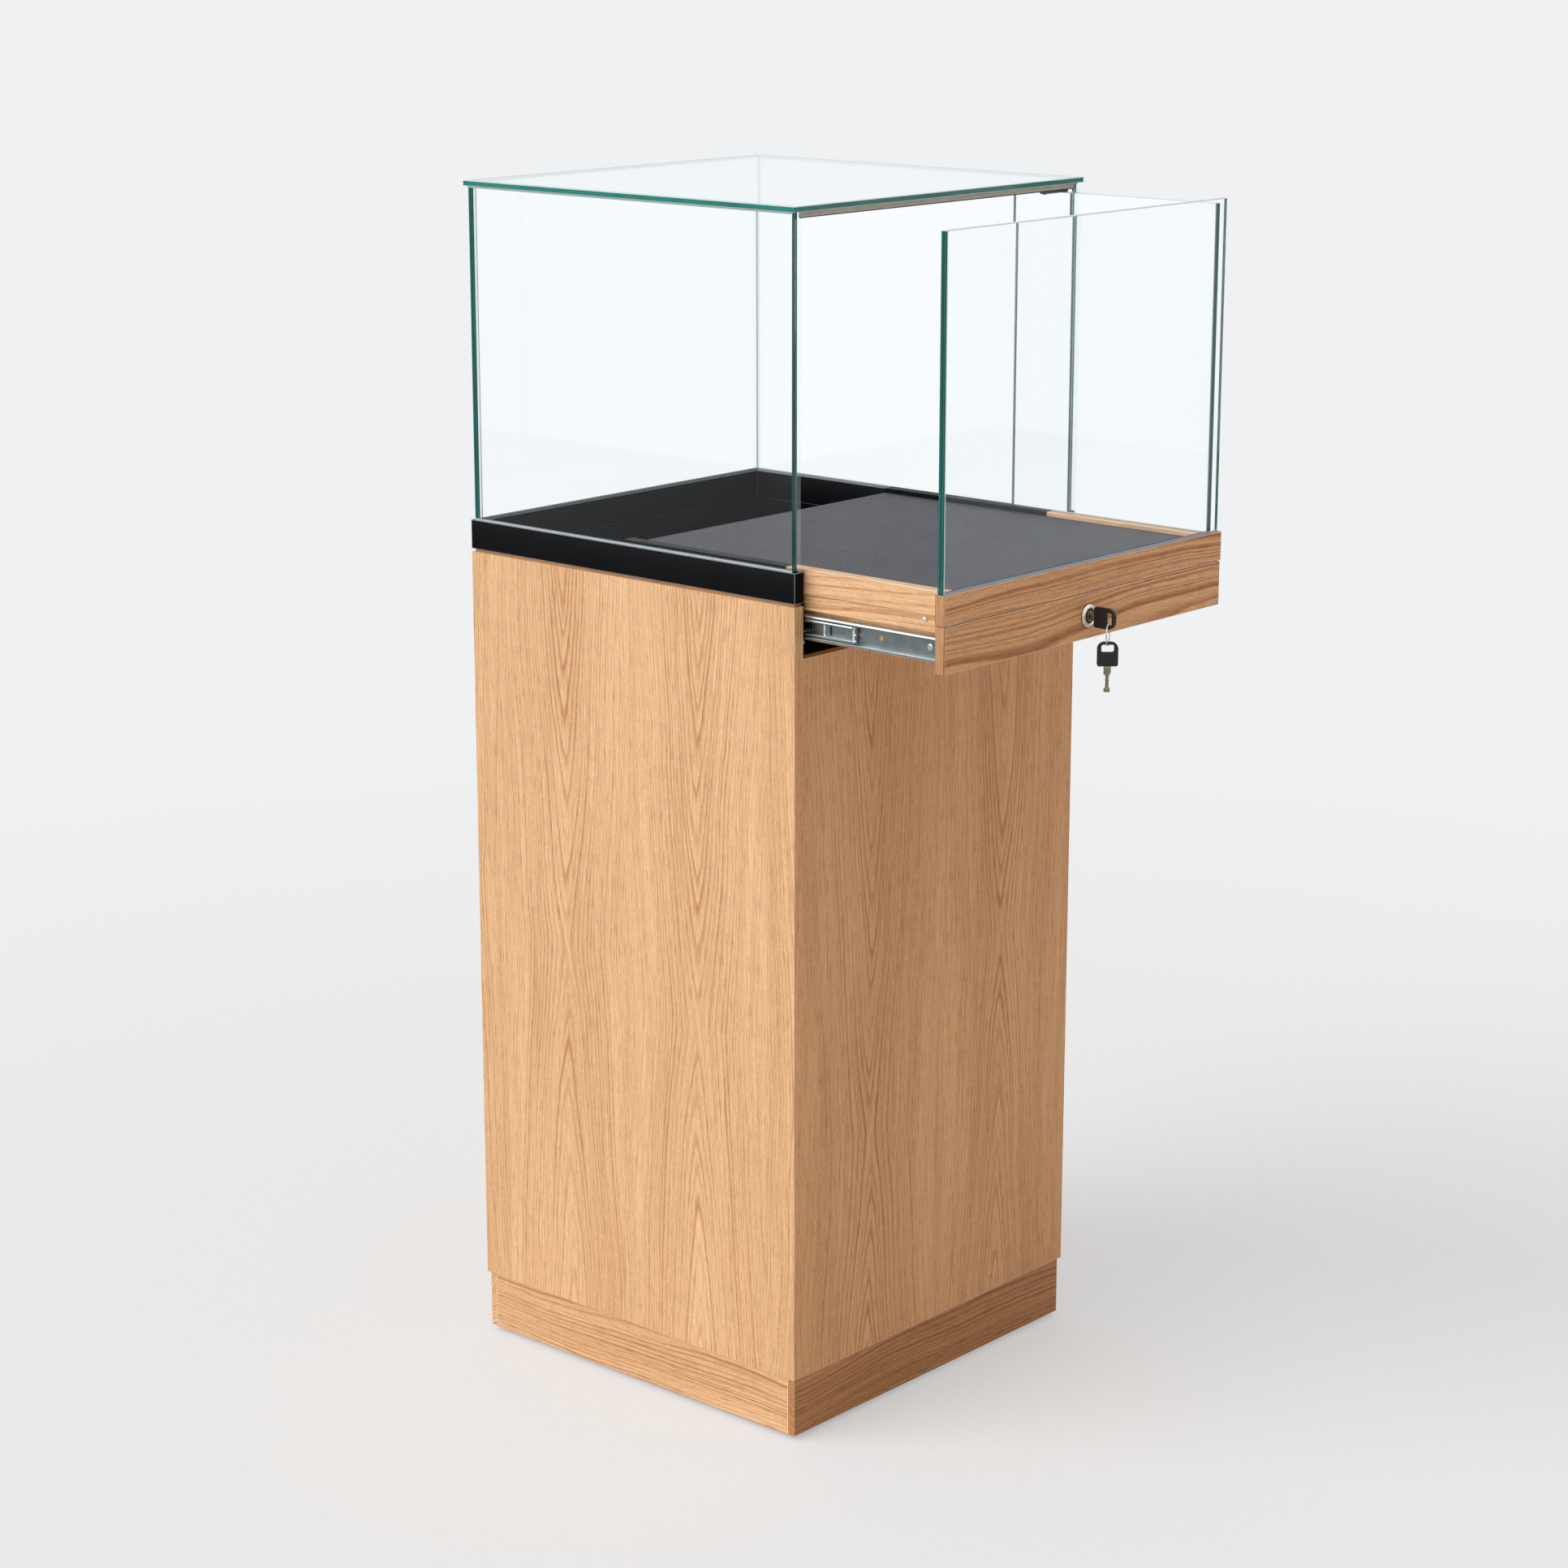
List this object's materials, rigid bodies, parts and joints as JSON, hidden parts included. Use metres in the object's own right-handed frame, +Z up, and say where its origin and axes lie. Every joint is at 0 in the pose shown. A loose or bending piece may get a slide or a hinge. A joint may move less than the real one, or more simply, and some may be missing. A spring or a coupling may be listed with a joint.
{
  "type": "pedestal display case",
  "caption": "Floor-standing wooden plinth with a frameless glass bonnet whose glazed front and covered deck pull out together on ball slides behind a cam lock.",
  "frame": {"origin": "middle of the base, on the floor", "axes": "+Z up, X across the width, the drawer opens towards -Y. The rest pose is the picture's: the drawer stands 194 mm open and unlocked, with a key in the lock"},
  "size_m": [0.502, 0.7445, 1.4],
  "materials": {
    "oak": "satin lacquered oak veneer",
    "inner_board": "plain birch plywood",
    "black_board": "matt black paint",
    "black_frame": "satin black powder coat",
    "black_rubber": "matt",
    "glass": "clear float glass, polished green edges",
    "clear_plastic": "clear",
    "brush": "short pile in a taupe holder",
    "bronze_clip": "dark bronze",
    "zinc_steel": "bright zinc plate",
    "satin_nickel": "satin nickel plate",
    "key_plastic": "moulded black",
    "deck_cover": "fine grained charcoal cover"
  },
  "bodies": {
    "pedestal": {"base_board": "black_board", "plinth_front": "oak", "plinth_back": "oak", "plinth_left": "oak", "plinth_right": "oak", "glue_blocks": "inner_board", "bottom_panel": "inner_board", "side_panel_left": "oak", "side_panel_right": "oak", "front_panel": "oak", "back_panel": "oak", "well_floor": "black_board", "well_liner": "black_board", "neck_strips": "oak", "frame_left": "black_frame", "frame_right": "black_frame", "frame_back": "black_frame", "frame_end_caps": "black_frame", "glazing_gasket": "black_rubber", "glass_left": "glass", "glass_right": "glass", "glass_back": "glass", "glass_top": "glass", "edge_fins": "clear_plastic", "brush_seal": "brush", "pane_guide": "bronze_clip", "slide_outer_left": "zinc_steel", "slide_outer_right": "zinc_steel", "case_slide_screws": "zinc_steel"},
    "drawer": {"slide_inner_left": "zinc_steel", "slide_inner_right": "zinc_steel", "drawer_slide_screws": "zinc_steel", "drawer_side_screws": "zinc_steel", "drawer_side_left": "oak", "drawer_side_right": "oak", "drawer_front_rail": "inner_board", "drawer_back_rail": "oak", "deck_board": "inner_board", "deck_panel": "deck_cover", "deck_rail_left": "oak", "deck_rail_right": "oak", "fascia_upper": "oak", "fascia_lower": "oak", "front_pane": "glass", "front_pane_gasket": "black_rubber", "return_pane": "glass", "lock_barrel": "satin_nickel", "lock_nut": "zinc_steel"},
    "slide_mid_left": {"slide_mid_left": "zinc_steel"},
    "slide_mid_right": {"slide_mid_right": "zinc_steel"},
    "outer_cages": {"outer_ball_cages": "zinc_steel"},
    "inner_cages": {"inner_ball_cages": "zinc_steel"},
    "lock_plug": {"lock_plug": "satin_nickel", "lock_cam": "zinc_steel", "key_blade": "satin_nickel", "key_bow": "key_plastic"},
    "key_ring": {"key_ring": "zinc_steel"},
    "spare_key": {"spare_key_bow": "key_plastic", "spare_key_blade": "satin_nickel"}
  },
  "joints": [
    {"name": "drawer_slide", "type": "slide", "parent": "pedestal", "child": "drawer", "axis": [0, -1, 0], "range_m": [-0.194, 0.256]},
    {"name": "slide_mid_left_travel", "type": "slide", "parent": "pedestal", "child": "slide_mid_left", "axis": [0, -1, 0], "range_m": [-0.0699, 0.0922]},
    {"name": "slide_mid_right_travel", "type": "slide", "parent": "pedestal", "child": "slide_mid_right", "axis": [0, -1, 0], "range_m": [-0.0699, 0.0922]},
    {"name": "outer_cages_travel", "type": "slide", "parent": "pedestal", "child": "outer_cages", "axis": [0, -1, 0], "range_m": [-0.035, 0.0461]},
    {"name": "inner_cages_travel", "type": "slide", "parent": "pedestal", "child": "inner_cages", "axis": [0, -1, 0], "range_m": [-0.132, 0.1741]},
    {"name": "lock_turn", "type": "hinge", "parent": "drawer", "child": "lock_plug", "pos_m": [0, -0.4565, 0.9538], "axis": [0, -1, 0], "range_deg": [0, 90]},
    {"name": "key_ring_hang", "type": "hinge", "parent": "lock_plug", "child": "key_ring", "pos_m": [0, -0.48345, 0.94455], "axis": [0, -1, 0], "range_deg": [-90, 0]},
    {"name": "spare_key_swing", "type": "hinge", "parent": "key_ring", "child": "spare_key", "pos_m": [0, -0.48345, 0.92428], "axis": [0.8829, 0.4695, 0], "range_deg": [-20, 20]}
  ],
  "couplings": [
    {"joint": "slide_mid_left_travel", "follows": "drawer_slide", "ratio": 0.36},
    {"joint": "slide_mid_right_travel", "follows": "drawer_slide", "ratio": 0.36},
    {"joint": "outer_cages_travel", "follows": "drawer_slide", "ratio": 0.18},
    {"joint": "inner_cages_travel", "follows": "drawer_slide", "ratio": 0.68},
    {"joint": "key_ring_hang", "follows": "lock_turn", "ratio": -1}
  ]
}
